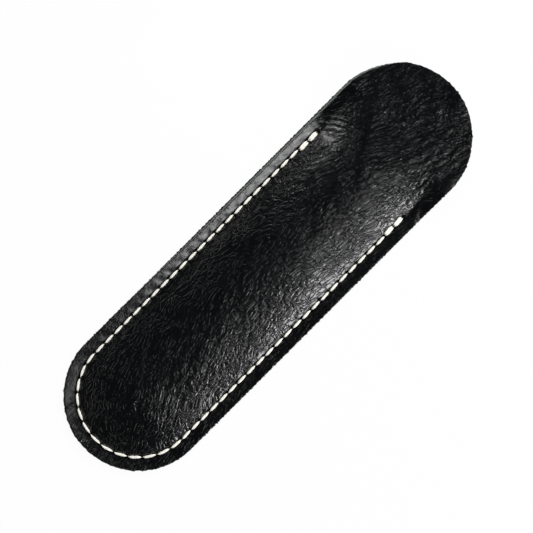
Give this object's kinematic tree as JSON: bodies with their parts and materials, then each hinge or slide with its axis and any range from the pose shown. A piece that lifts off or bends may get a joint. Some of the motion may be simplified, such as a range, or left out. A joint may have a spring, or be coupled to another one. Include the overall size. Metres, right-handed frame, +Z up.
{
  "type": "pen sleeve",
  "caption": "Slim leather pen sleeve: two panels with rounded ends sewn together in a U, open at a mouth whose free lips bend apart to let a pen in.",
  "frame": {"origin": "middle of the sleeve's outline, on the back face that it lies on", "axes": "+X along the sleeve from the closed foot to the mouth, +Y across it, +Z up from the back face to the front"},
  "size_m": [0.165, 0.048, 0.0118],
  "materials": {
    "leather": "black grained leather, semi-gloss",
    "thread": "cream twisted sewing thread"
  },
  "bodies": {
    "pocket": {"back_panel": "leather", "front_panel": "leather", "needle_thread": "thread", "bobbin_thread": "thread"},
    "front_lip": {"front_lip": "leather"},
    "back_lip": {"back_lip": "leather"}
  },
  "joints": [
    {"name": "front_lip_bend", "type": "hinge", "parent": "pocket", "child": "front_lip", "pos_m": [0.0446, 0, 0.0118], "axis": [0, -1, 0], "range_deg": [0, 60], "stiffness_Nm_per_rad": 0.05},
    {"name": "back_lip_bend", "type": "hinge", "parent": "pocket", "child": "back_lip", "pos_m": [0.0446, 0, 0], "axis": [0, 1, 0], "range_deg": [0, 60], "stiffness_Nm_per_rad": 0.05}
  ]
}
